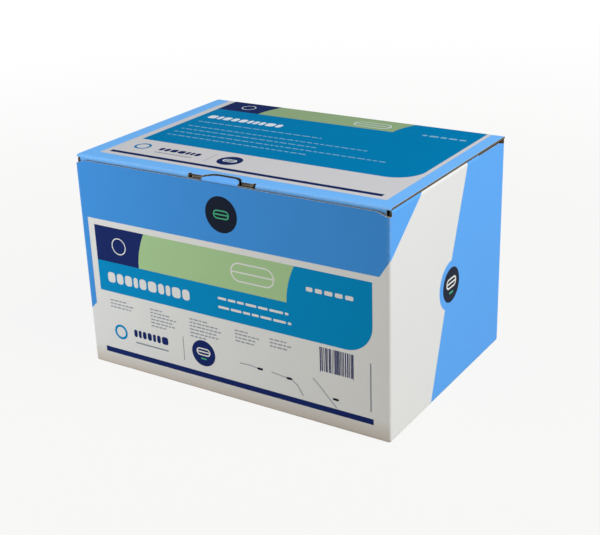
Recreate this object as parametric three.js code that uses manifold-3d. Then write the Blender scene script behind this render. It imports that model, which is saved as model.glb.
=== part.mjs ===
// A tuck-top folding carton of fine corrugated board, with twelve boluses in a slotted divider.
// Millimetres, +Z up. The origin is the middle of the underside, the front wall faces -Y.
import * as THREE from "three";
import { mergeVertices } from "three/addons/utils/BufferGeometryUtils.js";
import { RoundedBoxGeometry } from "three/addons/geometries/RoundedBoxGeometry.js";
import Module from "manifold-3d";

// Driving dimensions of the carton
const BOX_WIDTH = 250;
const BOX_DEPTH = 174;
const WALL_HEIGHT = 158; // the front wall's raw top edge
const BOARD = 1.6; // fine-flute corrugated board
const GAP = 0.3; // between pieces that touch
const FOLD_RADIUS = 2; // outside of a fold
const BOTTOM_LAYERS = 2; // outer flaps over inner flaps
const BOTTOM_SEAM = 0.8; // where the two outer bottom flaps meet
const FLAP_RISE = 1; // folded tops of the side walls above the front wall's edge
const REAR_EDGE_DROP = 0.8; // raw edge of a side wall behind its dust flap, below the fold
const FRONT_CHAMFER = { run: 9, drop: 3 };
const REAR_CHAMFER = { run: 9, drop: 2.5 };
const GLUE_LAP_WIDTH = 30;
const GLUE_LAP_DROP = 4; // the lap ends this far under the wall's top

// Dust flaps, measured from the front wall's outer face and the side wall's outer face
const DUST_ROOT_START = 3;
const DUST_ROOT_END = 130;
const DUST_LENGTH = 56;
const DUST_FRONT_CLEARANCE = 7; // leaves the way for the tuck flap
const DUST_TAPER = 10;

// Lid with its tuck flap
const TUCK_DROP = 30; // from the lid's underside to the flap's tip
const TUCK_LEAN = 2.4; // the tip sits this much further in than the fold
const TUCK_SIDE_INSET = 3.4;
const TUCK_CORNER = 14;
const LID_FOLD_RADIUS = 2.2;
const HINGE_GAP = 0.15; // half of the crease between the back wall and the lid

// Lock tab on the front wall's top edge, and the lid's cut-out around it
const TAB_ROOT_WIDTH = 29;
const TAB_TIP_WIDTH = 17;
const TAB_REACH = 8.4; // from the front wall's outer face to the tip
const TAB_FOLD_RADIUS = 1.8;
const TAB_BELOW_LID = 0.8; // its top face under the lid's top face
const CUTOUT_CLEARANCE = 1.7;
const SLIT_LENGTH = 12.5; // each way from the tab's root
const SLIT_WIDTH = 1.4;
const SLIT_HOOK_RADIUS = 1.3;

// Slotted divider
const CELLS_WIDE = 4;
const CELLS_DEEP = 3;
const DIVIDER_BOARD = 1.6;
const DIVIDER_HEIGHT = 100;
const DIVIDER_PLAY = 0.5; // from a slat's end to the wall

// Boluses
const BOLUS_DIAMETER = 35;
const BOLUS_LENGTH = 95;
const BOLUS_SHOULDER = 9; // radius of the rounded ends
const BAND_WIDTH = 3.2; // parting band left by the press
const BAND_PROUD = 0.4;
const BOLUS_TURN_STEP = 40; // degrees from one bolus to the next

// Heights and places that follow from them
const FRONT = -BOX_DEPTH / 2;
const BACK = BOX_DEPTH / 2;
const SIDE = BOX_WIDTH / 2;
const FLOOR_TOP = BOTTOM_LAYERS * BOARD;
const FLAP_TOP = WALL_HEIGHT + FLAP_RISE;
const LID_UNDERSIDE = FLAP_TOP + GAP;
const LID_TOP = LID_UNDERSIDE + BOARD;
const CUT_MARGIN = 5; // cutting tools reach this far past what they cut

const wasm = await Module();
wasm.setup();

/** A closed three.js geometry as a solid. */
function solid(geometry) {
  const bare = geometry.clone();
  bare.deleteAttribute("normal");
  bare.deleteAttribute("uv");
  const merged = mergeVertices(bare, 1e-3);
  const vertProperties = new Float32Array(merged.attributes.position.array);
  const triVerts = new Uint32Array(merged.index.array);
  return new wasm.Manifold(new wasm.Mesh({ numProp: 3, vertProperties, triVerts }));
}

/** A solid as a named mesh with its own material. */
function piece(name, body, material) {
  const { vertProperties, numProp, triVerts } = body.getMesh();
  const positions = new Float32Array((vertProperties.length / numProp) * 3);
  for (let i = 0; i < positions.length / 3; i++) {
    positions.set(vertProperties.subarray(i * numProp, i * numProp + 3), i * 3);
  }
  const geometry = new THREE.BufferGeometry();
  geometry.setAttribute("position", new THREE.BufferAttribute(positions, 3));
  geometry.setIndex(new THREE.BufferAttribute(new Uint32Array(triVerts), 1));
  geometry.computeVertexNormals();
  const mesh = new THREE.Mesh(geometry, material);
  mesh.name = name;
  return mesh;
}

/** A box between two corners. */
function block([x0, y0, z0], [x1, y1, z1]) {
  const geometry = new THREE.BoxGeometry(x1 - x0, y1 - y0, z1 - z0);
  geometry.translate((x0 + x1) / 2, (y0 + y1) / 2, (z0 + z1) / 2);
  return solid(geometry);
}

/** An outline swept straight along one axis. The outline's own axes are the other two, in the order given. */
function sweep(shape, axis, from, to, curveSegments = 6) {
  const geometry = new THREE.ExtrudeGeometry(shape, { depth: to - from, bevelEnabled: false, curveSegments });
  const basis = new THREE.Matrix4();
  if (axis === "x") {
    // outline in (y, z)
    basis.makeBasis(new THREE.Vector3(0, 1, 0), new THREE.Vector3(0, 0, 1), new THREE.Vector3(1, 0, 0));
    geometry.applyMatrix4(basis).translate(from, 0, 0);
  } else if (axis === "y") {
    // outline in (x, z), swept towards -Y
    basis.makeBasis(new THREE.Vector3(1, 0, 0), new THREE.Vector3(0, 0, 1), new THREE.Vector3(0, -1, 0));
    geometry.applyMatrix4(basis).translate(0, to, 0);
  } else {
    geometry.translate(0, 0, from);
  }
  return solid(geometry);
}

/** A straight-sided outline through the given points. */
function outline(points) {
  return new THREE.Shape(points.map(([u, v]) => new THREE.Vector2(u, v)));
}

/** The same solid on the left and on the right. */
function bothSides(makeAt) {
  return [-1, 1].map(makeAt);
}

/** The folded shell: walls and bottom with rounded folds, closed at the top by the dust flaps' layer. */
function foldedShell() {
  const tall = FLAP_TOP + 2 * CUT_MARGIN;
  const rounded = new RoundedBoxGeometry(BOX_WIDTH, BOX_DEPTH, tall, 5, FOLD_RADIUS);
  rounded.translate(0, 0, tall / 2);
  const above = block([-SIDE - CUT_MARGIN, FRONT - CUT_MARGIN, FLAP_TOP], [SIDE + CUT_MARGIN, BACK + CUT_MARGIN, 2 * tall]);
  const cavity = block(
    [-SIDE + BOARD, FRONT + BOARD, FLOOR_TOP],
    [SIDE - BOARD, BACK - BOARD, FLAP_TOP - BOARD],
  );
  const seam = block(
    [-SIDE - CUT_MARGIN, -BOTTOM_SEAM / 2, -CUT_MARGIN],
    [SIDE + CUT_MARGIN, BOTTOM_SEAM / 2, BOARD],
  );
  return solid(rounded).subtract(above).subtract(cavity).subtract(seam);
}

/** What is open at the top between the two dust flaps: everything inside the walls that no flap covers. */
function mouth() {
  const inside = SIDE - BOARD;
  const tip = SIDE - DUST_LENGTH;
  const rootStart = FRONT + DUST_FRONT_CLEARANCE;
  const rootEnd = FRONT + DUST_ROOT_END;
  const right = [
    [inside, FRONT + BOARD],
    [inside, rootStart],
    [inside - DUST_TAPER, rootStart + DUST_TAPER / 4],
    [tip + DUST_TAPER, rootStart + DUST_TAPER / 2],
    [tip, rootStart + DUST_TAPER * 1.5],
    [tip, rootEnd - DUST_TAPER],
    [tip + DUST_TAPER, rootEnd],
    [inside, rootEnd],
    [inside, BACK - BOARD],
  ];
  const left = right.map(([x, y]) => [-x, y]).reverse();
  return sweep(outline([...right, ...left]), "z", FLAP_TOP - BOARD - CUT_MARGIN, FLAP_TOP + CUT_MARGIN);
}

/** Rounds the top outer edge of a side wall along its dust flap's fold. */
function sideFoldCutter(side) {
  const centre = SIDE - FOLD_RADIUS;
  const shape = new THREE.Shape();
  shape.moveTo(centre, FLAP_TOP + CUT_MARGIN);
  shape.lineTo(centre, FLAP_TOP);
  shape.absarc(centre, FLAP_TOP - FOLD_RADIUS, FOLD_RADIUS, Math.PI / 2, 0, true);
  shape.lineTo(SIDE + CUT_MARGIN, FLAP_TOP - FOLD_RADIUS);
  shape.lineTo(SIDE + CUT_MARGIN, FLAP_TOP + CUT_MARGIN);
  const cutter = sweep(shape, "y", FRONT - CUT_MARGIN, FRONT + DUST_ROOT_END);
  return side > 0 ? cutter : cutter.mirror([1, 0, 0]);
}

/** Lowers a side wall's top behind its dust flap to a raw edge, with the chamfer at the back corner. */
function rearEdgeCutter(side) {
  const rawTop = FLAP_TOP - REAR_EDGE_DROP;
  const above = FLAP_TOP + CUT_MARGIN;
  const edge = outline([
    [FRONT + DUST_ROOT_END, rawTop],
    [BACK - BOARD - REAR_CHAMFER.run, rawTop],
    [BACK - BOARD, rawTop - REAR_CHAMFER.drop],
    [BACK - BOARD, above],
    [FRONT + DUST_ROOT_END, above],
  ]);
  const cutter = sweep(edge, "x", SIDE - BOARD - GAP, SIDE + CUT_MARGIN);
  return side > 0 ? cutter : cutter.mirror([1, 0, 0]);
}

/** Trims the front wall to its raw top edge with chamfered corners. */
function frontEdgeCutter() {
  const above = FLAP_TOP + CUT_MARGIN;
  const out = SIDE + CUT_MARGIN;
  const low = WALL_HEIGHT - FRONT_CHAMFER.drop;
  const inner = SIDE - FRONT_CHAMFER.run;
  const edge = outline([
    [-out, low],
    [-SIDE, low],
    [-inner, WALL_HEIGHT],
    [inner, WALL_HEIGHT],
    [SIDE, low],
    [out, low],
    [out, above],
    [-out, above],
  ]);
  return sweep(edge, "y", FRONT - CUT_MARGIN, FRONT + DUST_ROOT_START);
}

/** The lap that closes the blank, glued inside the back wall at the left corner. */
function glueLap() {
  return block(
    [-SIDE + BOARD / 2, BACK - 2 * BOARD, FLOOR_TOP - BOARD / 2],
    [-SIDE + BOARD + GLUE_LAP_WIDTH, BACK - BOARD / 2, FLAP_TOP - BOARD - GLUE_LAP_DROP],
  );
}

/** Walls, bottom, glue lap and dust flaps: one folded sheet. */
function carton() {
  let body = foldedShell().add(glueLap()).subtract(mouth()).subtract(frontEdgeCutter());
  for (const cutter of [...bothSides(sideFoldCutter), ...bothSides(rearEdgeCutter)]) {
    body = body.subtract(cutter);
  }
  return body;
}

/** Section of the lid through its depth: rounded back fold, top panel, front fold and leaning tuck flap. */
function lidSection() {
  const y0 = FRONT + BOARD + GAP;
  const backEnd = BACK - HINGE_GAP;
  const lean = TUCK_LEAN / TUCK_DROP;
  const tip = LID_UNDERSIDE - TUCK_DROP;
  const innerTurn = LID_FOLD_RADIUS - BOARD;
  const shape = new THREE.Shape();
  shape.moveTo(backEnd, LID_UNDERSIDE);
  shape.absarc(backEnd - BOARD, LID_UNDERSIDE, BOARD, 0, Math.PI / 2, false);
  shape.absarc(y0 + LID_FOLD_RADIUS, LID_TOP - LID_FOLD_RADIUS, LID_FOLD_RADIUS, Math.PI / 2, Math.PI, false);
  shape.lineTo(y0 + TUCK_LEAN, tip);
  shape.lineTo(y0 + TUCK_LEAN + BOARD, tip);
  shape.lineTo(y0 + BOARD + lean * (LID_UNDERSIDE - (LID_TOP - LID_FOLD_RADIUS)), LID_UNDERSIDE - innerTurn);
  shape.lineTo(y0 + LID_FOLD_RADIUS, LID_UNDERSIDE);
  return shape;
}

/** Cuts a tuck flap's side away so that it is narrower than the top panel, with a clipped lower corner. */
function tuckSideCutter(side) {
  const low = LID_UNDERSIDE - TUCK_DROP;
  const in0 = SIDE - TUCK_SIDE_INSET;
  const edge = outline([
    [in0, LID_UNDERSIDE],
    [in0, low + TUCK_CORNER],
    [in0 - TUCK_CORNER / 3, low + TUCK_CORNER / 3],
    [in0 - TUCK_CORNER, low - CUT_MARGIN],
    [SIDE + CUT_MARGIN, low - CUT_MARGIN],
    [SIDE + CUT_MARGIN, LID_UNDERSIDE],
  ]);
  const cutter = sweep(edge, "y", FRONT - CUT_MARGIN, FRONT + CUT_MARGIN * 3);
  return side > 0 ? cutter : cutter.mirror([1, 0, 0]);
}

/** The tab's outline from above, grown by a clearance: a hump with a wide root and a rounded tip. */
function humpOutline(clearance) {
  const root = TAB_ROOT_WIDTH / 2 + clearance;
  const tip = TAB_TIP_WIDTH / 2 + clearance;
  const reach = FRONT + TAB_REACH + clearance;
  const start = FRONT - CUT_MARGIN;
  const shoulder = FRONT + TAB_FOLD_RADIUS;
  const swing = (reach - shoulder) / 2;
  const shape = new THREE.Shape();
  shape.moveTo(-root, start);
  shape.lineTo(root, start);
  shape.lineTo(root, shoulder);
  shape.bezierCurveTo(root - swing / 2, shoulder + swing, tip + swing / 2, reach, tip - swing, reach);
  shape.lineTo(-(tip - swing), reach);
  shape.bezierCurveTo(-(tip + swing / 2), reach, -(root - swing / 2), shoulder + swing, -root, shoulder);
  shape.lineTo(-root, start);
  return shape;
}

/** The cut-out in the lid's front fold: the hump, and a slit each way that ends in a small hook. */
function lidCutout() {
  const bottom = WALL_HEIGHT;
  const top = LID_TOP + CUT_MARGIN;
  const slitEnd = TAB_ROOT_WIDTH / 2 + SLIT_LENGTH;
  const slitBack = FRONT + BOARD + GAP + SLIT_WIDTH;
  const hump = sweep(humpOutline(CUTOUT_CLEARANCE), "z", bottom, top);
  const slits = block([-slitEnd, FRONT - CUT_MARGIN, bottom], [slitEnd, slitBack, top]);
  let cut = hump.add(slits);
  for (const side of [-1, 1]) {
    const hook = new THREE.CylinderGeometry(SLIT_HOOK_RADIUS, SLIT_HOOK_RADIUS, top - bottom, 12);
    hook.rotateX(Math.PI / 2);
    hook.translate(side * (slitEnd - SLIT_HOOK_RADIUS), slitBack, (top + bottom) / 2);
    cut = cut.add(solid(hook));
  }
  return cut;
}

/** The top panel and its tuck flap. */
function lid() {
  let body = sweep(lidSection(), "x", -SIDE, SIDE);
  for (const cutter of bothSides(tuckSideCutter)) {
    body = body.subtract(cutter);
  }
  return body.subtract(lidCutout());
}

/** The tongue: rises from the front wall's raw edge, bends over and lies in the lid's cut-out. */
function lockTab() {
  const top = LID_TOP - TAB_BELOW_LID;
  const foot = WALL_HEIGHT + GAP;
  const bendY = FRONT + TAB_FOLD_RADIUS;
  const bendZ = top - TAB_FOLD_RADIUS;
  const tip = FRONT + TAB_REACH;
  const shape = new THREE.Shape();
  shape.moveTo(FRONT + BOARD, foot);
  shape.lineTo(FRONT, foot);
  shape.absarc(bendY, bendZ, TAB_FOLD_RADIUS, Math.PI, Math.PI / 2, true);
  shape.lineTo(tip, top);
  shape.lineTo(tip, top - BOARD);
  shape.absarc(bendY, bendZ, TAB_FOLD_RADIUS - BOARD, Math.PI / 2, Math.PI, false);
  const bent = sweep(shape, "x", -TAB_ROOT_WIDTH / 2, TAB_ROOT_WIDTH / 2);
  return bent.intersect(sweep(humpOutline(0), "z", foot - CUT_MARGIN, LID_TOP + CUT_MARGIN));
}

const INSIDE_WIDTH = BOX_WIDTH - 2 * BOARD;
const INSIDE_DEPTH = BOX_DEPTH - 2 * BOARD;
const SLAT_FOOT = FLOOR_TOP + GAP;
const SLAT_MIDDLE = SLAT_FOOT + DIVIDER_HEIGHT / 2;

/** Places of the slats, or of the cells' middles, across an inside length. */
function slatPlaces(length, cells) {
  return Array.from({ length: cells - 1 }, (_, i) => -length / 2 + (length * (i + 1)) / cells);
}

function cellPlaces(length, cells) {
  return Array.from({ length: cells }, (_, i) => -length / 2 + (length * (i + 0.5)) / cells);
}

/** A slat along X, slotted from the top where the short slats cross it. */
function longSlat(y) {
  const end = INSIDE_WIDTH / 2 - DIVIDER_PLAY;
  const half = DIVIDER_BOARD / 2;
  let slat = block([-end, y - half, SLAT_FOOT], [end, y + half, SLAT_FOOT + DIVIDER_HEIGHT]);
  for (const x of slatPlaces(INSIDE_WIDTH, CELLS_WIDE)) {
    const slot = block(
      [x - half - GAP, y - half - CUT_MARGIN, SLAT_MIDDLE - GAP / 2],
      [x + half + GAP, y + half + CUT_MARGIN, SLAT_FOOT + DIVIDER_HEIGHT + CUT_MARGIN],
    );
    slat = slat.subtract(slot);
  }
  return slat;
}

/** A slat along Y, slotted from below where the long slats cross it. */
function shortSlat(x) {
  const end = INSIDE_DEPTH / 2 - DIVIDER_PLAY;
  const half = DIVIDER_BOARD / 2;
  let slat = block([x - half, -end, SLAT_FOOT], [x + half, end, SLAT_FOOT + DIVIDER_HEIGHT]);
  for (const y of slatPlaces(INSIDE_DEPTH, CELLS_DEEP)) {
    const slot = block(
      [x - half - CUT_MARGIN, y - half - GAP, SLAT_FOOT - CUT_MARGIN],
      [x + half + CUT_MARGIN, y + half + GAP, SLAT_MIDDLE + GAP / 2],
    );
    slat = slat.subtract(slot);
  }
  return slat;
}

/** A round bolus standing on its end: a straight side with rounded shoulders, and the parting band round it. */
function bolus() {
  const radius = BOLUS_DIAMETER / 2;
  const shoulderSteps = 5;
  const profile = [new THREE.Vector2(0, 0)];
  for (let i = 0; i <= shoulderSteps; i++) {
    const angle = (Math.PI / 2) * (i / shoulderSteps);
    const r = radius - BOLUS_SHOULDER + BOLUS_SHOULDER * Math.sin(angle);
    profile.push(new THREE.Vector2(r, BOLUS_SHOULDER - BOLUS_SHOULDER * Math.cos(angle)));
  }
  for (let i = shoulderSteps; i >= 0; i--) {
    const { x, y } = profile[i + 1];
    profile.push(new THREE.Vector2(x, BOLUS_LENGTH - y));
  }
  profile.push(new THREE.Vector2(0, BOLUS_LENGTH));
  const turned = new THREE.LatheGeometry(profile, 24);
  turned.rotateX(Math.PI / 2);
  const band = new THREE.Shape();
  const out = radius + BAND_PROUD;
  const turn = BOLUS_SHOULDER + BAND_PROUD;
  band.moveTo(out, turn);
  band.lineTo(out, BOLUS_LENGTH - turn);
  band.absarc(out - turn, BOLUS_LENGTH - turn, turn, 0, Math.PI / 2, false);
  band.absarc(turn - out, BOLUS_LENGTH - turn, turn, Math.PI / 2, Math.PI, false);
  band.absarc(turn - out, turn, turn, Math.PI, Math.PI * 1.5, false);
  band.absarc(out - turn, turn, turn, Math.PI * 1.5, Math.PI * 2, false);
  return solid(turned).add(sweep(band, "y", -BAND_WIDTH / 2, BAND_WIDTH / 2));
}

const printedBoard = new THREE.MeshStandardMaterial({ color: 0x5aa9f5, roughness: 0.45, metalness: 0 });
const kraftBoard = new THREE.MeshStandardMaterial({ color: 0xb98f62, roughness: 0.9, metalness: 0 });
const pressedPowder = new THREE.MeshStandardMaterial({ color: 0xcdbf9a, roughness: 0.85, metalness: 0 });

const model = new THREE.Group();
model.add(piece("carton", carton(), printedBoard.clone()));
model.add(piece("lid", lid(), printedBoard.clone()));
model.add(piece("lock_tab", lockTab(), printedBoard.clone()));
slatPlaces(INSIDE_DEPTH, CELLS_DEEP).forEach((y, i) => {
  model.add(piece(`divider_long_${i + 1}`, longSlat(y), kraftBoard.clone()));
});
slatPlaces(INSIDE_WIDTH, CELLS_WIDE).forEach((x, i) => {
  model.add(piece(`divider_short_${i + 1}`, shortSlat(x), kraftBoard.clone()));
});
const bolusSolid = bolus();
let count = 0;
for (const y of cellPlaces(INSIDE_DEPTH, CELLS_DEEP)) {
  for (const x of cellPlaces(INSIDE_WIDTH, CELLS_WIDE)) {
    count += 1;
    const mesh = piece(`bolus_${String(count).padStart(2, "0")}`, bolusSolid, pressedPowder.clone());
    mesh.position.set(x, y, SLAT_FOOT);
    mesh.rotation.z = THREE.MathUtils.degToRad(BOLUS_TURN_STEP * count);
    model.add(mesh);
  }
}

export default model;
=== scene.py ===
# %% [markdown]
# # A printed carton of boluses
#
# The real box is one sheet of fine corrugated board. A printed paper is glued to its outside, the sheet is
# cut and creased, and it folds into four walls, a bottom, two dust flaps and a lid with a tuck flap.
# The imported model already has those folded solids, so they stay and get their finishes here.
# This script adds the print, as thin films of ink that follow the board round its folds,
# and the boluses, as smooth turned surfaces.

import math

import bmesh
import bpy
import numpy as np
from mathutils import Matrix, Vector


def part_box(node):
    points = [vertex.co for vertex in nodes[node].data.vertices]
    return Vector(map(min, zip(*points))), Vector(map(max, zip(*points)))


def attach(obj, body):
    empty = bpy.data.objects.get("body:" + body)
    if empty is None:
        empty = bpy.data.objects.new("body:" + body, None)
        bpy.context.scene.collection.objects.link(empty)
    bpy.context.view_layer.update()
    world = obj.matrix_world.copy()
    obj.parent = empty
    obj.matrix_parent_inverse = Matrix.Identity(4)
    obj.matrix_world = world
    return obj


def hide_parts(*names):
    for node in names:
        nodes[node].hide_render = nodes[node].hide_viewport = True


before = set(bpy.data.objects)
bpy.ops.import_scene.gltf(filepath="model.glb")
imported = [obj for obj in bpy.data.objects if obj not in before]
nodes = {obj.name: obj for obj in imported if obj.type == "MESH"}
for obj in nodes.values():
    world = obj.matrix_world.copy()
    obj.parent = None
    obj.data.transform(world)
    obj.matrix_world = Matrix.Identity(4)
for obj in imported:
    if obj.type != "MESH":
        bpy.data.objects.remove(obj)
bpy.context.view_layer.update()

# %% Measures, in millimetres
MM = 0.001
BOARD = 1.6
FOLD_RADIUS = 2.0


def box_mm(node):
    """A node's lowest and highest corners."""
    low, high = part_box(node)
    return np.array(low) / MM, np.array(high) / MM


lid_low, lid_high = box_mm("lid")
HALF_WIDTH, HALF_DEPTH, FLAP_TOP = box_mm("carton")[1]
LID_TOP = lid_high[2]
LID_FRONT = lid_low[1]
LID_UNDERSIDE = LID_TOP - BOARD
WALL_HEIGHT = FLAP_TOP - 1.0  # the front wall's raw edge
FLAP_ROOT_START = -HALF_DEPTH + 3.0  # a dust flap's fold along the side wall, from here
FLAP_ROOT_END = -HALF_DEPTH + 130.0  # to here
print("half width, half depth, flap top, lid top:", HALF_WIDTH, HALF_DEPTH, FLAP_TOP, LID_TOP)

# %% [markdown]
# ## The camera
#
# The box is seen from a little over twenty degrees above and about a third of a right angle to one side. A
# Track To constraint could aim the camera, but its heading, height and roll were fitted to the carton's
# corners one by one, so they are written as three turns, with no shift.

# %% Camera
CAMERA_PLACE_MM = (427.3, -655.5, 390.8)
CAMERA_AZIMUTH = 32.85
CAMERA_ELEVATION = 22.46
CAMERA_ROLL = -1.95
CAMERA_LENS = 68.9


def new_object(name, data):
    """An object in the scene that holds data."""
    obj = bpy.data.objects.new(name, data)
    bpy.context.scene.collection.objects.link(obj)
    return obj


def add_camera():
    """A camera turned by its heading about Z, tilted from straight down, then rolled about its own axis."""
    data = bpy.data.cameras.new("camera")
    data.lens = CAMERA_LENS
    camera = new_object("camera", data)
    heading = Matrix.Rotation(math.radians(CAMERA_AZIMUTH), 4, "Z")
    tilt = Matrix.Rotation(math.radians(90 - CAMERA_ELEVATION), 4, "X")
    roll = Matrix.Rotation(math.radians(CAMERA_ROLL), 4, "Z")
    camera.matrix_world = Matrix.Translation([c * MM for c in CAMERA_PLACE_MM]) @ heading @ tilt @ roll
    bpy.context.scene.camera = camera
    return camera


print("camera lens", add_camera().data.lens)

# %% [markdown]
# ## Small helpers for colour and nodes
#
# A printer gives a colour as a swatch, and here a swatch is an sRGB hex value. Shaders reckon with light, so
# one function turns hex to linear. One more adds a node, sets it and links it, and the last ends a material
# with its bump and shader, so that each material below reads as a recipe.

# %% Colours and nodes
def linear(hex_colour, shade=1.0):
    """sRGB hex to linear RGBA: a channel c becomes ((c + 0.055) / 1.055) ** 2.4, or c / 12.92 near black,
    and is then multiplied by shade."""
    channels = [int(hex_colour[i:i + 2], 16) / 255 for i in (1, 3, 5)]
    bent = [c / 12.92 if c <= 0.04045 else ((c + 0.055) / 1.055) ** 2.4 for c in channels]
    return (*[c * shade for c in bent], 1.0)


def add(tree, kind, inputs=(), output=0, **settings):
    """Adds one node. settings are its properties. inputs are its sockets, in order or by name or number, each
    a value or another node's output. Returns the output that is asked for."""
    node = tree.nodes.new("ShaderNode" + kind)
    for key, value in settings.items():
        setattr(node, key, value)
    for key, value in inputs.items() if isinstance(inputs, dict) else enumerate(inputs):
        if isinstance(value, bpy.types.NodeSocket):
            tree.links.new(value, node.inputs[key])
        else:
            node.inputs[key].default_value = value
    return node.outputs[output] if node.outputs else node


def new_material(name):
    """An empty node material, its tree, and the place on the object in metres."""
    material = bpy.data.materials.new(name)
    material.use_nodes = True
    material.node_tree.nodes.clear()
    return material, material.node_tree, add(material.node_tree, "TexCoord", output="Object")


def finish(tree, colour, roughness, height, strength, depth, gloss=None):
    """A bump from height, depth millimetres at most, then the shader and the material's output."""
    normal = add(tree, "Bump", {"Height": height, "Strength": strength, "Distance": depth * MM})
    look = {"Base Color": colour, "Roughness": roughness, "Normal": normal, **(gloss or {})}
    add(tree, "OutputMaterial", (add(tree, "BsdfPrincipled", look),))


print("mid grey in linear light", linear("#808080"))

# %% [markdown]
# ## Light, floor and background
#
# A pack is photographed on a pale sweep under soft light. The right wall and the lid face the main lamp, and
# the front wall lies in its half shade. The far white could come from more light, but that would bleach the
# box, so it comes from Light Path: what is seen directly is white, and what lights the box stays dim.

# %% World
WORLD_STRENGTH = 0.26


def seen_directly(tree):
    """1 for camera, glossy and transmission rays, which see the background, and 0 for all others."""
    rays = add(tree, "LightPath").node.outputs
    seen = add(tree, "Math", (rays["Is Camera Ray"], rays["Is Glossy Ray"]), operation="MAXIMUM")
    return add(tree, "Math", (seen, rays["Is Transmission Ray"]), operation="MAXIMUM")


def add_world():
    """White where it is seen, and a dimmer even light on everything."""
    world = bpy.data.worlds.new("studio")
    bpy.context.scene.world = world
    world.use_nodes = True
    tree = world.node_tree
    tree.nodes.clear()
    light = add(tree, "Background", (linear("#FFF8F0"), WORLD_STRENGTH))
    white = add(tree, "Background", (linear("#FFFFFF"), 1.0))
    add(tree, "OutputWorld", (add(tree, "MixShader", (seen_directly(tree), light, white)),))
    return world


print("world", add_world().name)

# %% Floor
FLOOR_HALF = 4.0
FADE_NEAR, FADE_FAR = 0.25, 1.3  # metres from the box between which the floor fades to the world's white
WHITE_NEAR = 0.90


def add_floor():
    """A wide sheet of matt paper that takes the box's shadow. Its white share rises smoothly with distance,
    so that no horizon shows."""
    h = FLOOR_HALF
    mesh = bpy.data.meshes.new("floor")
    mesh.from_pydata([(-h, -h, 0), (h, -h, 0), (h, h, 0), (-h, h, 0)], [], [(0, 1, 2, 3)])
    floor = new_object("floor", mesh)
    material, tree, place = new_material("matt_sweep_paper")
    away = add(tree, "VectorMath", (place,), "Value", operation="LENGTH")
    white_share = add(tree, "MapRange", {
        "Value": away, "From Min": FADE_NEAR, "From Max": FADE_FAR, "To Min": WHITE_NEAR, "To Max": 1.0,
    }, interpolation_type="SMOOTHSTEP")
    share = add(tree, "Math", (seen_directly(tree), white_share), operation="MULTIPLY")
    paper = add(tree, "BsdfDiffuse", (linear("#A39A8A"),))
    white = add(tree, "Emission", (linear("#FFFFFF"), 1.0))
    add(tree, "OutputMaterial", (add(tree, "MixShader", (share, paper, white)),))
    mesh.materials.append(material)
    return floor


print("floor", add_floor().name)

# %% Lamps
MIDDLE = (0.0, 0.0, 0.08)


def add_lamp(name, place, aim, size, watts, colour="#FFFFFF"):
    """A square soft lamp at place that faces aim, in metres: yaw and pitch come from the line between."""
    data = bpy.data.lights.new(name, "AREA")
    data.size = size
    data.energy = watts
    data.color = linear(colour)[:3]
    lamp = new_object(name, data)
    lamp.visible_camera = False
    x, y, z = np.array(aim) - np.array(place)
    yaw = Matrix.Rotation(math.atan2(x, -y), 4, "Z")
    pitch = Matrix.Rotation(-math.atan2(math.hypot(x, y), -z), 4, "X")
    lamp.matrix_world = Matrix.Translation(place) @ yaw @ pitch


add_lamp("key", (1.48, 0.1, 1.49), MIDDLE, 1.2, 41.5, "#F6FAFF")
add_lamp("back_fill", (-1.15, 1.45, 0.1), MIDDLE, 0.2, 7)  # low, so that the lid doesn't mirror it
add_lamp("left_fill", (-0.48, -0.55, 0.22), (-0.05, -0.087, 0.08), 0.4, 3.0, "#F4F9FF")
bpy.context.scene.view_settings.view_transform = "Standard"
print("lamps", bpy.data.lights.keys())

# %% [markdown]
# ## The printed board
#
# The outside paper is clay-coated, printed offset and sealed with a water varnish. Three things give it away
# as corrugated board that has been handled: the flutes show through as very faint ridges, the panels are not
# quite flat, and the ink is rubbed thin where the sheet folds. All three are too slight for geometry, so
# they are bump and colour on Object coordinates, which pass without a seam from one wall to the next.

# %% Flutes that show through
FLUTE_PITCH = 3.3 * MM  # E flute, 90 to the foot
WALL_RUN = (1, 1, 0)  # on a wall only one of x and y changes, so their sum runs along every wall
LID_RUN = (1, 0, 0)


def flute_wave(tree, along):
    """The sine of the distance along a run, with one wave a flute."""
    phase = add(tree, "Math", (along, 2 * math.pi / FLUTE_PITCH), operation="MULTIPLY")
    return add(tree, "Math", (phase,), operation="SINE")


def fluted(tree, height, share, place, run, flute_share):
    """share of a height, plus flute_share of the wave along run."""
    along = add(tree, "VectorMath", (place, run), "Value", operation="DOT_PRODUCT")
    ridges = add(tree, "Math", (flute_wave(tree, along), flute_share), operation="MULTIPLY")
    return add(tree, "Math", (height, share, ridges), operation="MULTIPLY_ADD")


print("flutes across the front:", round(2 * HALF_WIDTH * MM / FLUTE_PITCH))

# %% Distance from a fold
RUB_WIDTH = 3 * MM
RUBBED = "#E4E3DD"


def from_wall_folds(tree, x, y, z):
    """The larger of the distances from the side's and the front's plane, or the height if that is less."""
    gaps = []
    for along, half in ((x, HALF_WIDTH), (y, HALF_DEPTH)):
        outward = add(tree, "Math", (along,), operation="ABSOLUTE")
        gaps.append(add(tree, "Math", (half * MM, outward), operation="SUBTRACT"))
    return add(tree, "Math", (add(tree, "Math", gaps, operation="MAXIMUM"), z), operation="MINIMUM")


def from_lid_fold(tree, _, y, z):
    """The larger of the distances from the lid's top and its front plane."""
    below = add(tree, "Math", (LID_TOP * MM, z), operation="SUBTRACT")
    behind = add(tree, "Math", (y, LID_FRONT * MM), operation="SUBTRACT")
    return add(tree, "Math", (below, behind), operation="MAXIMUM")


print("a fold is rubbed over, mm:", RUB_WIDTH / MM)

# %% Printed paper
# painted shade: a warmer, darker band up the front wall's foot, where shade from the floor falls
FOOT_SHADE_HEIGHT = 16 * MM
PAINTED_FOOT_SHADE = "#D0C6BA"
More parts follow.
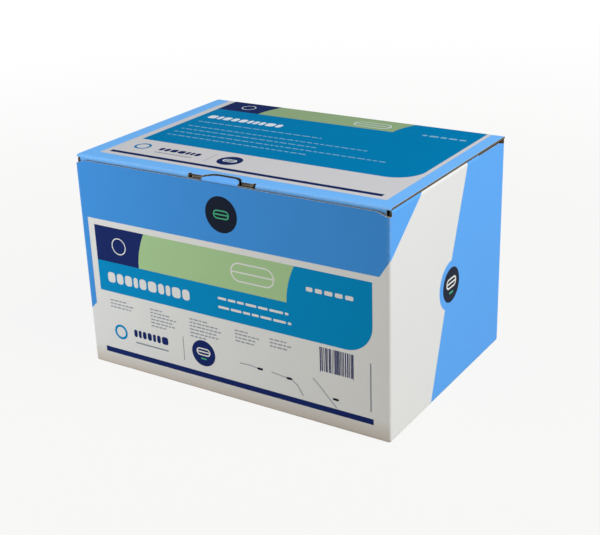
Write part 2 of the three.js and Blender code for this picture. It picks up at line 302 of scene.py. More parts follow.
# size in mm, detail and roughness of the ink's clouds, the paper's grain, the scuffs at the folds, the
# varnish's duller patches and the panels' swell
PAPER_PATTERNS = ((22, 3, 0.5), (0.6, 2, 0.5), (2, 5, 0.7), (9, 3, 0.5), (45, 1, 0.5))


def front_foot_shade(tree, y, z):
    """1 at the front wall's foot, 0 from the painted shade's height up and on all other walls: where the
    painted shade lies.
    """
    near = add(tree, "MapRange", {"Value": z, "From Max": FOOT_SHADE_HEIGHT, "To Min": 1.0, "To Max": 0.0})
    on_front = add(tree, "Math", (y, (1 - HALF_DEPTH) * MM), operation="LESS_THAN")
    return add(tree, "Math", (near, on_front), operation="MULTIPLY")


def printed_paper(name, ink, shade=0.95, shine=0.03, for_lid=False, painted_foot_shade=False):
    """Matt-varnished offset print: an ink that mottles towards its shade, with painted shade, warmer and
    darker, at the front's foot if asked, and paler where the fold is rubbed. shine is low because the white
    studio would veil the ink at a grazing view, as it doesn't on the pack."""
    material, tree, place = new_material(name)
    clouds, grain, scuffs, satin, swell = [
        add(tree, "TexNoise", {"Vector": place, "Scale": 1 / (size * MM), "Detail": fine, "Roughness": rough})
        for size, fine, rough in PAPER_PATTERNS]
    mottle = add(tree, "Mix", {0: 0.25, 2: clouds, 3: grain})
    scuffed = add(tree, "MapRange", {"Value": scuffs, "From Min": 0.40, "From Max": 0.70, "To Max": 0.24})
    x, y, z = add(tree, "SeparateXYZ", (place,)).node.outputs
    distance = (from_lid_fold if for_lid else from_wall_folds)(tree, x, y, z)
    near = add(tree, "MapRange", {"Value": distance, "From Max": RUB_WIDTH, "To Min": 1.0, "To Max": 0.0})
    rub = add(tree, "Math", (near, scuffed), operation="MULTIPLY")
    # the painted shade at the front's foot, mixed over the mottled ink
    foot = [(front_foot_shade(tree, y, z), linear(PAINTED_FOOT_SHADE))] if painted_foot_shade else []
    colour = linear(ink)
    for share, over in [(mottle, linear(ink, shade)), *foot, (rub, linear(RUBBED))]:
        colour = add(tree, "Mix", {0: share, 6: colour, 7: over}, 2, data_type="RGBA")
    roughness = add(tree, "MapRange", {"Value": satin, "To Min": 0.41, "To Max": 0.53})
    height = fluted(tree, swell, 0.5, place, LID_RUN if for_lid else WALL_RUN, 0.012)
    finish(tree, colour, roughness, height, 0.35, 0.6, {"IOR": 1.48, "Specular IOR Level": shine})
    return material


# %% The board's own papers
PAPER_WHITE = "#E9EAE8"
# clay-coated paper without ink: a soft white, with painted shade along the front's foot, a little warmer and
# darker
white_board = printed_paper("white_varnished_paper", PAPER_WHITE, shade=0.97, painted_foot_shade=True)
# a full tint of blue: bright and flat, a little paler on the lid, which lies under the lamp
blue_wall_board = printed_paper("blue_varnished_paper_walls", "#6CB2FC")
blue_lid_board = printed_paper("blue_varnished_paper_lid", "#74BAFC", shine=0.004, for_lid=True)
print("printed papers", white_board.name, blue_wall_board.name, blue_lid_board.name)

# %% [markdown]
# ## Bare liners and raw edges
#
# Inside, the board shows its brown liner: unbleached paper with long fibres and small specks. Where the sheet
# was cut, the edge shows the two liners with the wavy medium between them. The wave could be modelled, but
# it is half a millimetre high, so it is worked out from the run along the edge and the depth
# through the board, which each cut face carries in a UV map in metres.

# %% Kraft liner
FIBRE_WIDTH = 0.9 * MM  # drawn about four times coarser than real so that the fibres show
FIBRE_STRETCH = 0.22  # how much slower the pattern changes along the web


def kraft_liner(name, colour="#A88A68"):
    """Unbleached paper: brown and matt, with darker fibres that lie along the web."""
    material, tree, place = new_material(name)
    stretched = add(tree, "Mapping", {"Vector": place, "Scale": (1, 1, FIBRE_STRETCH)})
    fibres = add(tree, "TexNoise", {
        "Vector": stretched, "Scale": 1 / FIBRE_WIDTH, "Detail": 4, "Roughness": 0.7})
    fleck = add(tree, "MapRange", {"Value": fibres, "From Min": 0.35, "From Max": 0.72})
    tone = add(tree, "Mix", {0: fleck, 6: linear(colour), 7: linear(colour, 0.72)}, 2, data_type="RGBA")
    finish(tree, tone, 0.88, fluted(tree, fibres, 0.2, place, WALL_RUN, 0.05), 0.5, 0.5)
    return material


# unbleached kraft: warm brown and quite dull, so that the inside reads as bare paper beside the print
brown_inside = kraft_liner("brown_kraft_inside")
print("inside", brown_inside.name)

# %% Cut edge
EDGE_MAP = "cut_edge"
LINER = 0.24 * MM
MEDIUM = 0.34 * MM  # drawn about twice as thick as the real paper so that the wave shows
# painted shade: the dark inside of a flute's open channel, drawn flat on the cut face
HOLLOW_SHADE = "#24231F"
FUZZ = 0.5 * MM


def cut_edge(name, outer="#C3CBD0", inner="#7F7361"):
    """Two liners and a wave: depth within half the medium of middle + amplitude * sin(run) is paper, and the
    rest between the liners is painted shade, standing for the dark hollow of a flute."""
    material, tree, place = new_material(name)
    uv = add(tree, "UVMap", uv_map=EDGE_MAP)
    run, depth = add(tree, "SeparateXYZ", (uv,)).node.outputs[:2]
    middle = BOARD * MM / 2
    amplitude = middle - LINER - MEDIUM / 4
    wave = add(tree, "Math", (flute_wave(tree, run), amplitude, middle), operation="MULTIPLY_ADD")
    on_medium = add(tree, "Math", (depth, wave, MEDIUM / 2), operation="COMPARE")
    on_inner = add(tree, "Math", (depth, LINER), operation="LESS_THAN")
    on_outer = add(tree, "Math", (depth, BOARD * MM - LINER), operation="GREATER_THAN")
    tone = linear(HOLLOW_SHADE)
    for share, colour in ((on_medium, "#7A7060"), (on_inner, inner), (on_outer, outer)):
        tone = add(tree, "Mix", {0: share, 6: tone, 7: linear(colour)}, 2, data_type="RGBA")
    fuzz = add(tree, "TexNoise", {"Vector": place, "Scale": 1 / FUZZ})
    finish(tree, tone, 0.95, fuzz, 0.4, 0.2)
    return material


# torn-looking paper ends, and painted shade in the flutes' hollows: from afar the cut reads as a thin brown
# line with a pale rim
raw_edge = cut_edge("cut_corrugated_edge")
print("edge", raw_edge.name)

# %% [markdown]
# ## Dressing the folded solids
#
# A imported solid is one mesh, but its faces belong to three things: the printed outside, the brown inside and
# the cut edges. Splitting it would break the piece, so it keeps its shape and gets three material slots, and
# each face is sorted into one by where its middle lies and which way it faces.

# %% Faces as arrays
def read_all(items, attribute, width=3, kind=float):
    """An attribute of all of a mesh's faces, corners or points, with width numbers in a row."""
    values = np.zeros(len(items) * width, kind)
    items.foreach_get(attribute, values)
    return values.reshape(-1, width)


def corner_arrays(mesh):
    """For each face corner, its place (in mm) and the number of its face."""
    vertex_of = read_all(mesh.loops, "vertex_index", 1, np.int64)[:, 0]
    corners = read_all(mesh.polygons, "loop_total", 1, np.int64)[:, 0]
    return read_all(mesh.vertices, "co")[vertex_of] / MM, np.repeat(np.arange(len(corners)), corners)


print("face corners of the carton:", len(corner_arrays(nodes["carton"].data)[0]))

# %% Dressing a node
PRINTED, INSIDE, EDGE = 0, 1, 2


def dress(node, sort, depth_of, materials):
    """Gives a node its materials and sorts its faces into them, and writes the cut-edge map: u is the run
    along the cut and v the depth through the board, both from depth_of(corner, face middle, face normal)."""
    mesh = nodes[node].data
    centres, normals = read_all(mesh.polygons, "center").T / MM, read_all(mesh.polygons, "normal").T
    points, face_of = corner_arrays(mesh)
    uv = np.stack(depth_of(points.T, centres[:, face_of], normals[:, face_of]), axis=1) * MM
    mesh.uv_layers.new(name=EDGE_MAP).data.foreach_set("uv", uv.astype(np.float32).ravel())
    mesh.materials.clear()
    for material in materials:
        mesh.materials.append(material)
    kinds = sort(centres, normals).astype(np.int32)
    mesh.polygons.foreach_set("material_index", kinds)
    mesh.update()
    print(node, "faces in each slot:", np.bincount(kinds, minlength=len(materials)))


print("slots:", PRINTED, INSIDE, EDGE)

# %% The carton
HAIR = 0.05  # play where a face's middle is set against a plane
SIDE_INNER = HALF_WIDTH - BOARD - 0.4  # just inside a side wall
CUT_HEIGHT = WALL_HEIGHT - 6  # the side walls' cut ends are above this


def sort_carton(c, n):
    """Printed: on the outer skin and facing out, and the flaps' tops. Cut: the walls' tops and ends and the
    flaps' rims."""
    x, y, z = np.abs(c[0]), c[1], c[2]
    within = np.abs(y) < HALF_DEPTH - BOARD - 2 * HAIR
    outward = (x > HALF_WIDTH - FOLD_RADIUS) & (n[0] * np.sign(c[0]) > 0.05)
    outward |= (np.abs(y) > HALF_DEPTH - FOLD_RADIUS) & (n[1] * np.sign(y) > 0.05)
    outward |= (z < FOLD_RADIUS) & (n[2] < -0.05)
    flap_top = (z > FLAP_TOP - HAIR) & within
    beyond_flap = (y < FLAP_ROOT_START + 2 * HAIR) | (y > FLAP_ROOT_END - 2 * HAIR)
    near_top = z > CUT_HEIGHT
    top_cut = near_top & (n[2] > 0.9) & beyond_flap & ~flap_top
    end_cut = near_top & (np.abs(n[1]) > 0.9) & (x > SIDE_INNER) & within
    flap_rim = (z > FLAP_TOP - BOARD) & (z < FLAP_TOP - HAIR) & (np.abs(n[2]) < 0.3) & within
    flap_rim &= x < HALF_WIDTH - BOARD
    crease = (y > HALF_DEPTH - BOARD - 2 * HAIR) & (z > FLAP_TOP - HAIR)
    cut = (top_cut | end_cut | flap_rim) & ~crease
    return np.where(cut, EDGE, np.where(outward | flap_top, PRINTED, INSIDE))


def carton_depth(p, c, n):
    """Depth out from a wall's inside face on its cuts, or up from a flap's underside."""
    on_top = n[2] > 0.5
    on_side = np.abs(c[0]) > SIDE_INNER
    out_x, out_y = np.abs(p[0]) - (HALF_WIDTH - BOARD), np.abs(p[1]) - (HALF_DEPTH - BOARD)
    level_run = np.where(on_side, p[1], p[0])
    rim_run = np.where(np.abs(n[0]) > np.abs(n[1]), p[1], p[0])
    upright_run = np.where(on_side, p[2], rim_run)
    depth = np.where(on_side, out_x, np.where(on_top, out_y, p[2] - (FLAP_TOP - BOARD)))
    return np.where(on_top, level_run, upright_run), depth


dress("carton", sort_carton, carton_depth, [white_board, brown_inside, raw_edge])

# %% The lid
CUTOUT_HALF = 32.0
CUTOUT_DEPTH = 12.0
FLAP_HANG = 20.0  # the tuck flap's tip hangs lower than this
FLAP_LEAN = 0.08  # how far the tuck flap leans in for each unit that it hangs down


def sort_lid(c, n):
    """Printed: the top, the rounded folds and the tuck flap's front. Cut: the panel's sides, the flap's rim
    and the cut-out round the tab."""
    x, y, z = np.abs(c[0]), c[1], c[2]
    top = (z > LID_UNDERSIDE - 1) & (n[2] > 0.05)
    flap_face = (n[1] < -0.8) & (y < LID_FRONT + 3)
    back_fold = (y > HALF_DEPTH - BOARD - 0.2) & (n[1] > 0.05)
    sides = (np.abs(n[0]) > 0.3) & (n[2] < 0.5)
    tip = (n[2] < -0.7) & (z < LID_UNDERSIDE - FLAP_HANG)
    cutout = (x < CUTOUT_HALF) & (y < LID_FRONT + CUTOUT_DEPTH)
    cutout &= (z < LID_TOP - 0.02) & (z > WALL_HEIGHT - 2 * HAIR)
    cutout &= (np.abs(n[2]) < 0.1) | (z < WALL_HEIGHT + 2 * HAIR)
    cutout &= (n[1] > -0.5) | (y > LID_FRONT + 0.3)
    printed = top | flap_face | back_fold
    return np.where(sides | tip | cutout, EDGE, np.where(printed, PRINTED, INSIDE))


def lid_depth(p, c, n):
    """Depth up from the panel's underside, or out from the leaning flap's inner face below it."""
    through = LID_FRONT + BOARD - p[1] + (LID_UNDERSIDE - p[2]) * FLAP_LEAN
    run = np.where(np.abs(n[0]) > 0.5, p[1] + p[2], p[0])
    return run, np.where(c[2] < LID_UNDERSIDE, through, p[2] - LID_UNDERSIDE)


dress("lid", sort_lid, lid_depth, [blue_lid_board, brown_inside, raw_edge])

# %% The locking tab
TAB_TOP = box_mm("lock_tab")[1][2]


def sort_tab(c, n):
    """The tongue is printed on top and in front, brown beneath, and cut at its rim."""
    printed = (n[2] > 0.3) | ((n[1] < -0.3) & (c[1] < -HALF_DEPTH + FOLD_RADIUS))
    rim = (np.abs(n[2]) < 0.1) & ((np.abs(n[0]) > 0.3) | (n[1] > 0.3))
    return np.where(rim, EDGE, np.where(printed, PRINTED, INSIDE))


def tab_depth(p, c, n):
    """Depth up from the tongue's underside."""
    return p[0] + p[1], p[2] - (TAB_TOP - BOARD)


dress("lock_tab", sort_tab, tab_depth, [blue_wall_board, brown_inside, raw_edge])

# %% [markdown]
# ## Divider slats
#
# Inside, slats of the same board slot into each other and part the boluses. They are brown on both sides.
# Their shape is right as packed, so they only need their liners and the wave on their narrow faces.

# %% Divider slats
# the same kraft a shade lighter, since it never touches a printing press
slat_liner = kraft_liner("brown_kraft_slats", "#B39672")
# both liners brown, so the cut is brown from side to side, with painted shade in the hollows
slat_edge = cut_edge("cut_slat_edge", outer="#9A8264", inner="#9A8264")


def dress_slat(node, thin):
    """A slat is thin along one axis: faces that look along it are liner, and all others are cut edge."""
    low, _ = box_mm(node)
    along = 1 - thin

    def sort(c, n):
        return np.abs(n[thin]) <= 0.5

    def depth_of(p, c, n):
        return np.where(np.abs(n[along]) > 0.5, p[2], p[along]), p[thin] - low[thin]

    dress(node, sort, depth_of, [slat_liner, slat_edge])


for node in nodes:
    if node.startswith("divider_"):
        dress_slat(node, int("long" in node))

# %% [markdown]
# ## From a flat sheet to the folded box
#
# A printer lays the print out flat, and folding does the rest. So does this script: s runs along the walls
# from the middle of the front and h runs up them, in millimetres, and one function of the two folds
# that sheet. A plane for each wall would be simpler, but the print would break at every fold.

# %% The sheet's runs
FRONT_RUN = HALF_WIDTH - FOLD_RADIUS
SIDE_RUN = 2 * (HALF_DEPTH - FOLD_RADIUS)
ARC = math.pi * FOLD_RADIUS / 2
ROUND = 4 * FRONT_RUN + 2 * SIDE_RUN + 4 * ARC
CORNER = FRONT_RUN + ARC / 2  # s at the middle of a front fold
BACK_CORNER = FRONT_RUN + 1.5 * ARC + SIDE_RUN
FOLD_END = -FOLD_RADIUS * (math.pi / 2 - 1)  # h where the bottom fold has turned right under
FOLD_LINE = FLAP_TOP - FOLD_RADIUS  # h where a dust flap starts to turn over
FOLDED_OVER = FOLD_LINE + ARC


def side_s(y):
    """s on the right wall at depth y; the left wall has the same value with the other sign."""
    return FRONT_RUN + ARC + (y + HALF_DEPTH - FOLD_RADIUS)


print("round the walls, mm:", round(ROUND, 1))


# %% The folding function
def on_walls(s, h, lift):
    """Along s: straight runs joined by quarter circles of the fold's radius. Along h: upright, with a quarter
    circle under the bottom edge and one over the dust flaps' top edge. lift is along the outward normal."""
    s = (np.asarray(s, float) + ROUND / 2) % ROUND - ROUND / 2
    h = np.asarray(h, float)
    side, t = np.sign(s), np.abs(s)
    first = np.clip((t - FRONT_RUN) / FOLD_RADIUS, 0, math.pi / 2)
    past = t - FRONT_RUN - ARC
    second = np.clip((past - SIDE_RUN) / FOLD_RADIUS, 0, math.pi / 2)
    along = np.clip(past, 0, SIDE_RUN)
    rest = np.clip(past - SIDE_RUN - ARC, 0, None)
    turn = first + second
    x = np.minimum(t, FRONT_RUN) - rest + FOLD_RADIUS * (np.sin(first) + np.cos(second) - 1)
    y = -HALF_DEPTH + FOLD_RADIUS * (1 - np.cos(first)) + along + FOLD_RADIUS * np.sin(second)
    normal = np.stack([side * np.sin(turn), -np.cos(turn)], axis=-1)
    under = np.clip((FOLD_RADIUS - h) / FOLD_RADIUS, 0, math.pi / 2)
    over = np.clip((h - FOLD_LINE) / FOLD_RADIUS, 0, math.pi / 2)
    on_flap_side = (turn > 1.5) & (turn < 1.7) & (y < FLAP_ROOT_END + 0.01)
    over = np.where(on_flap_side, over, 0)
    inset = FOLD_RADIUS * (2 - np.cos(under) - np.cos(over))
    out = normal * (lift * np.cos(under) * np.cos(over) - inset)[..., None]
    straight = np.where(over > 0, FOLD_LINE, np.maximum(h, FOLD_RADIUS))
    z = straight + (FOLD_RADIUS + lift) * (np.sin(over) - np.sin(under))
    return np.stack([side * x + out[..., 0], y + out[..., 1], z], axis=-1)


def on_lid(x, y, lift):
    """Flat on the lid's top."""
    x, y = np.asarray(x, float), np.asarray(y, float)
    return np.stack([x, y, np.full_like(x, LID_TOP) + lift], axis=-1)


print("middle of a front fold, mm:", on_walls([CORNER], [80.0], 0.0).round(2))

# %% [markdown]
# ## Films of ink
#
# A field of colour has a free outline, so a plain grid over the sheet would give it a stepped edge. Instead
# each outline becomes one flat face, bmesh cuts it along every line where the sheet bends, and the folding
# function then carries all its points onto the box at once. A field that lies over another is
# lifted by a few hundredths of a millimetre more.

# %% Where the sheet bends
FOLD_STEPS = 5


def bend_lines():
    """Every s and h at which a film needs an edge: even steps through each quarter circle."""
    steps = ARC * np.linspace(0, 1, FOLD_STEPS + 1)
    folds = np.concatenate([FRONT_RUN + steps, FRONT_RUN + ARC + SIDE_RUN + steps])
    cuts_s = np.concatenate([folds, ROUND - folds, folds - ROUND, -folds])
    return cuts_s, np.concatenate([FOLD_RADIUS - steps, FOLD_LINE + steps])


print("bend lines", [len(cuts) for cuts in bend_lines()])

# %% Flat fields, cut where they bend
SAME_PLACE = 1e-4


def anticlockwise(outline):
    """The outline as an array, turned round if the sum of u * next v - v * next u is negative."""
    u, v = np.array(outline, float).T
    area = np.sum(u * np.roll(v, -1) - v * np.roll(u, -1))
    return np.column_stack([u, v])[::1 if area > 0 else -1]


def flat_fields(mesh, fields, ink_names, cuts):
    """Fills mesh with the fields as faces at (u, v, layer), cut along every u and v in cuts."""
    outlines = [anticlockwise(outline) for outline, _, _ in fields]
    ends = np.cumsum([0] + [len(outline) for outline in outlines]).tolist()
    layers = np.repeat([float(layer) for _, _, layer in fields], np.diff(ends))
    points = np.column_stack([np.concatenate(outlines), layers])
    mesh.from_pydata(points.tolist(), [], [range(a, b) for a, b in zip(ends, ends[1:])])
    mesh.polygons.foreach_set("material_index", [ink_names.index(ink) for _, ink, _ in fields])
    bm = bmesh.new()
    bm.from_mesh(mesh)
    bmesh.ops.remove_doubles(bm, verts=bm.verts[:], dist=SAME_PLACE)
    bm.normal_update()
    for across, places in zip(np.eye(3), cuts):
        for at in places:
            everything = bm.verts[:] + bm.edges[:] + bm.faces[:]
            on_cut = at * across
            bmesh.ops.bisect_plane(bm, geom=everything, plane_co=on_cut, plane_no=across, dist=SAME_PLACE)
    bmesh.ops.triangulate(bm, faces=bm.faces[:])
    bm.to_mesh(mesh)
    bm.free()


print("anticlockwise:", anticlockwise([(0, 0), (0, 1), (1, 0)]).tolist())

# %% A film
FIRST_LIFT = 0.05
LAYER_LIFT = 0.04  # several times an ink's thickness, so that no viewer mixes up the layers


def film(name, body, fields, place, inks, cuts=((), ())):
    """One piece from fields of (outline, ink, layer), with a slot for each ink. Its points are
    place(u, v, lift) and its normals place(u, v, 1) - place(u, v, 0), so that they turn smoothly round a
    fold."""
    mesh = bpy.data.meshes.new(name)
    flat_fields(mesh, fields, list(inks), cuts)
    u, v, layer = read_all(mesh.vertices, "co").T
    placed = place(u, v, FIRST_LIFT + LAYER_LIFT * layer) * MM
    mesh.vertices.foreach_set("co", placed.ravel())
    mesh.update()
    mesh.normals_split_custom_set_from_vertices(place(u, v, 1.0) - place(u, v, 0.0))
    for material in inks.values():
        mesh.materials.append(material)
    obj = new_object(name, mesh)
    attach(obj, body)
    print(name, "faces", len(mesh.polygons))


print("top layer's lift, mm:", FIRST_LIFT + 2 * LAYER_LIFT)

# %% [markdown]
# ## Outlines
#
# Everything in the print is one of a few plain outlines: a disc, a bar with rounded corners, a line of even
# width, and a field with one swept side. They could be drawn as curves and filled, but as
# lists of points they go straight into the films.

# %% Discs and bars
def arc(cx, cy, radius, start, end, steps=10):
    """Points at (cx + radius * cos a, cy + radius * sin a), with a from start to end in degrees."""
    angles = np.radians(np.linspace(start, end, steps + 1))
    return list(zip(cx + radius * np.cos(angles), cy + radius * np.sin(angles)))


def disc(cx, cy, radius):
    """A circle of 48 sides."""
    return arc(cx, cy, radius, 0, 352.5, 47)


def bar(x0, y0, x1, y1, radius=0.0):
    """A rectangle, with a quarter circle at each corner if radius is over 0."""
    if radius <= 0:
        return [(x0, y0), (x1, y0), (x1, y1), (x0, y1)]
    r = min(radius, abs(x1 - x0) / 2, abs(y1 - y0) / 2)
    turns = ((x1 - r, y0 + r, -90), (x1 - r, y1 - r, 0), (x0 + r, y1 - r, 90), (x0 + r, y0 + r, 180))
    return [point for cx, cy, start in turns for point in arc(cx, cy, r, start, start + 90, 5)]


print("points of a disc and a bar:", len(disc(0, 0, 1)), len(bar(0, 0, 4, 2, 1)))

# %% Lines and swept sides
def unit(rows):
    """Each row over its length."""
    return rows / np.linalg.norm(rows, axis=1)[:, None]


def ribbon(points, width, closed=False):
    """A line of even width: each point moved half the width to both sides, across the mean of the directions
    before and after it."""
    p = np.array(points, float)
    after = np.roll(p, -1, axis=0) - p
    before = p - np.roll(p, 1, axis=0)
    if not closed:
        after[-1], before[0] = before[-1], after[0]
    way = unit(unit(after) + unit(before))
    across = np.stack([-way[:, 1], way[:, 0]], axis=1) * width / 2
    left, right = p + across, p - across
    strips = np.stack([left, right, np.roll(right, -1, axis=0), np.roll(left, -1, axis=0)], axis=1)
    return list(strips if closed else strips[:-1])


def swept_side(x_low, x_high, low, high, steps=8):
    """A side from (x_low, low) to (x_high, high) that leans out by the square of its height."""
    t = np.linspace(0, 1, steps + 1)
    return list(zip(x_low + (x_high - x_low) * t**2, low + (high - low) * t))


print("strips round a disc:", len(ribbon(disc(0, 0, 1), 0.1, closed=True)))

# %% [markdown]
# ## The inks
#
# The real inks are spot colours on the white paper, so each is one material of its own. The lid's inks are
# written apart from the walls': the lid lies flat under the lamp, and its colours were matched there.

# %% Inks
# offset ink under matt varnish: even and slightly satin, with no grain to see, and deeper where it is dark
front_inks = {
    name: printed_paper(f"{name}_offset_ink", colour, shade)
    for name, colour, shade in (
        # blue is side_blue's ink printed deeper: painted shade on the front wall, added to the lamps' half
        # shade there
        ("blue", "#4699E8", 0.95), ("side_blue", "#62AEFB", 0.95), ("navy", "#1A2C6A", 0.85),
        ("green", "#AED19B", 0.95), ("teal", "#0490CC", 0.95), ("white", PAPER_WHITE, 0.97),
        ("grey", "#969EA9", 0.95), ("dark", "#1A2233", 0.85), ("mint", "#4FB88C", 0.95),
    )
}
# the same inks as the lid shows them, where a raking light takes some of their depth
lid_inks = {
    name: printed_paper(f"{name}_offset_ink_lid", colour, shine=0.001, for_lid=True)
    for name, colour in (
        ("navy", "#19285A"), ("green", "#91AB81"), ("teal", "#007BB0"), ("panel", "#D0CFD1"),
        ("white", "#DDE6EC"), ("grey", "#8E9299"), ("pale_teal", "#7FB4CF"),
    )
}
print("inks", list(front_inks), list(lid_inks))

# %% [markdown]
# ## The ground colours
#
# White board is what the paper is, and the blue is printed on it: over the top of the front, round the back
# and the left, and on the right in a slanting field with a round bulge. The blue runs round the folds
# without a break, so it is one film round all four walls.

# %% Marks on the sheet
LABEL_LEFT = -118.7
LABEL_TOP = 115.8
MARGIN_FOOT, MARGIN_KNEE = 43.0, 48.7  # where the blue down the left margin ends, at the fold and the label
CORNER_CUT = (117.6, 126.6)  # where the blue turns up to the fold, and how high it meets it
CHAMFER_RUN, CHAMFER_DROP = 9.0, 3.0  # the front wall's cut corners
FRONT_LOW = WALL_HEIGHT - CHAMFER_DROP
RAW_SIDE_TOP = FLAP_TOP - 0.8
REAR_LOW = RAW_SIDE_TOP - 2.5  # the side walls' cut rear corners
CHAMFER_END = side_s(HALF_DEPTH - BOARD)
CHAMFER_START = CHAMFER_END - CHAMFER_RUN
CHAMFER_CROSSING = CHAMFER_END - CHAMFER_RUN * (FOLD_LINE - REAR_LOW) / (RAW_SIDE_TOP - REAR_LOW)
SPLIT_GAP = 0.02  # between the strip that turns over with the flap and the strip that ends at the raw edge
SLANT_TOP, SLANT_HEIGHT, SLANT = 24.0, 158.0, 0.329  # the slanting boundary's depth at a height, its lean
TRIANGLE_END = -42.0  # depth at which the blue behind the front fold meets the flap
DISC_Y, DISC_Z = 1.2, 78.6
HALO_RADIUS = 18.0


def slant_y(z):
    """The slanting boundary's depth at height z: a straight line."""
    return SLANT_TOP - SLANT * (SLANT_HEIGHT - z)


print("slant at the floor, mm:", round(slant_y(0.0), 1))

# %% Front ground
def front_ground():
    """Blue over the label, down the left margin and up to both folds, as the raw top edge is cut."""
    inner = HALF_WIDTH - CHAMFER_RUN
    return [
        (-CORNER, MARGIN_FOOT), (LABEL_LEFT, MARGIN_KNEE), (LABEL_LEFT, LABEL_TOP),
        (CORNER_CUT[0], LABEL_TOP), (CORNER, CORNER_CUT[1]), (CORNER, FRONT_LOW),
        (inner, WALL_HEIGHT), (-inner, WALL_HEIGHT), (-CORNER, FRONT_LOW),
    ]


print("corners of the front ground:", len(front_ground()))

# %% Side grounds
def side_tops(slant_start):
    """The strip that turns over with the flap, and behind it the strip that ends at the raw edge."""
    split = side_s(FLAP_ROOT_END)
    flap = bar(slant_start, FOLD_LINE, split, FOLDED_OVER)
    split += SPLIT_GAP
    rear = [(CHAMFER_CROSSING, FOLD_LINE), (CHAMFER_START, RAW_SIDE_TOP)]
    return [flap, [(split, FOLD_LINE)] + rear + [(split, RAW_SIDE_TOP)]]


def rear_rim():
    """The rear part's outline over the back fold, and up the cut corner to the fold line."""
    fold = [(BACK_CORNER, FOLD_END), (BACK_CORNER, REAR_LOW)]
    return fold + [(CHAMFER_END, REAR_LOW), (CHAMFER_CROSSING, FOLD_LINE)]


def right_ground():
    """The blue triangle behind the front fold, the slanting field, and the halo that bulges out of it."""
    start = side_s(FLAP_ROOT_START)
    triangle = [(CORNER, CORNER_CUT[1]), (side_s(TRIANGLE_END), FOLDED_OVER), (start, FOLDED_OVER)]
    triangle += [(start, FRONT_LOW), (CORNER, FRONT_LOW)]
    ring = np.array(arc(DISC_Y, DISC_Z, HALO_RADIUS, 0, 360, 72))
    bulge = ring[ring[:, 0] < slant_y(ring[:, 1])]
    bulge = bulge[np.argsort(-bulge[:, 1])]
    top = side_s(slant_y(FOLD_LINE))
    edge = [(top, FOLD_LINE)] + [(side_s(y), z) for y, z in bulge] + [(side_s(slant_y(FOLD_END)), FOLD_END)]
    return [triangle, edge + rear_rim()] + side_tops(top)


def left_and_back_ground():
    """Blue round the back, up both its ends past the cut corners, and on the left wall, but for a white
    corner below the front fold's margin."""
    start = side_s(FLAP_ROOT_START)
    back = rear_rim()[:3] + [(CHAMFER_END, FLAP_TOP)]
    back += [(ROUND - s, h) for s, h in back[::-1]]
    left = [(CORNER + MARGIN_FOOT - FOLD_END, FOLD_END)] + rear_rim()
    left += [(start, FOLD_LINE), (start, FRONT_LOW), (CORNER, FRONT_LOW), (CORNER, MARGIN_FOOT)]
    return [back] + [[(-s, h) for s, h in outline] for outline in [left] + side_tops(start)]


print("side and back outlines:", len(right_ground() + left_and_back_ground()))


# %% The ground film
def inked(outlines, ink, layer):
    """The outlines as fields of one ink on one layer."""
    return [(outline, ink, layer) for outline in outlines]


# the front's blue is the deeper copy of side_blue: painted shade
walls = inked([front_ground()], "blue", 0) + inked(right_ground() + left_and_back_ground(), "side_blue", 0)
film("ground_print", "carton", walls, on_walls, front_inks, bend_lines())

# %% [markdown]
# ## The label
#
# The layout keeps the pack's fields of colour: a navy block, a green band and a teal field with one big
# rounded corner, on white. Everything small on it is a plain shape with nothing to read: rows of blocks,
# bars, rings and discs. They are geometry, since an image would blur close up and the part carries none.

# %% Fields of colour
LEAN = 6.8  # how far the swept sides lean over their height
BLOCK_WIDTH = 45
BAND_END = 55.7
ROUNDING = 20


def label_fields(left, right, low, band, top):
    """The navy block, green band and teal field between the given sides, with the teal's rounded corner."""
    block_side = swept_side(left + BLOCK_WIDTH - LEAN, left + BLOCK_WIDTH, band, top)
    band_side = swept_side(BAND_END - LEAN, BAND_END, band, top)
    navy = [(left, band)] + block_side + [(left, top)]
    green = block_side + band_side[::-1]
    corner = arc(right - ROUNDING, low + ROUNDING, ROUNDING, -90, 0, 12)
    teal = [(left, band), (left, low)] + corner + [(right, top)] + band_side[::-1]
    return [(navy, "navy", 1), (green, "green", 1), (teal, "teal", 1)]


def tablet_mark(cx, cy, length, height, line):
    """A lying tablet seen from its side: a rounded outline with a line along its middle."""
    r = height / 2
    straight = length / 2 - r
    rim = arc(cx + straight, cy, r, -90, 90) + arc(cx - straight, cy, r, 90, 270)
    reach = (length - line) / 2
    return ribbon(rim, line, closed=True) + ribbon([(cx - reach, cy), (cx + reach, cy)], line)


print("pieces of a tablet mark:", len(tablet_mark(0, 0, 34, 13, 1)))


# %% Rows of blocks
def block_row(x0, x1, low, high, seed, longest=4.5, gap=0.9):
    """Blocks from x0 to x1 of random length, up to longest times their height, with gaps of gap times it."""
    rng = np.random.default_rng(seed)
    height = high - low
    blocks, x = [], x0
    while x < x1 - height:
        end = min(x + height * rng.uniform(0.45 * longest, longest), x1)
        blocks.append(bar(x, low, end, high, height * 0.3))
        x = end + height * gap
    return blocks


def block_rows(x0, x1, top, pitch, height, shares, seed=1):
    """Rows one pitch apart, each a share of the full width."""
    tops = [top - i * pitch for i in range(len(shares))]
    return [block for i, share in enumerate(shares)
            for block in block_row(x0, x0 + (x1 - x0) * share, tops[i] - height, tops[i], seed + i)]


print("blocks in two rows:", len(block_rows(0, 40, 5, 2.6, 0.9, (0.7, 1))))

# %% Upright bars
MODULES = 95  # widths of the narrowest bar in the whole field
GUARD = 1.2  # how much longer the end bars are


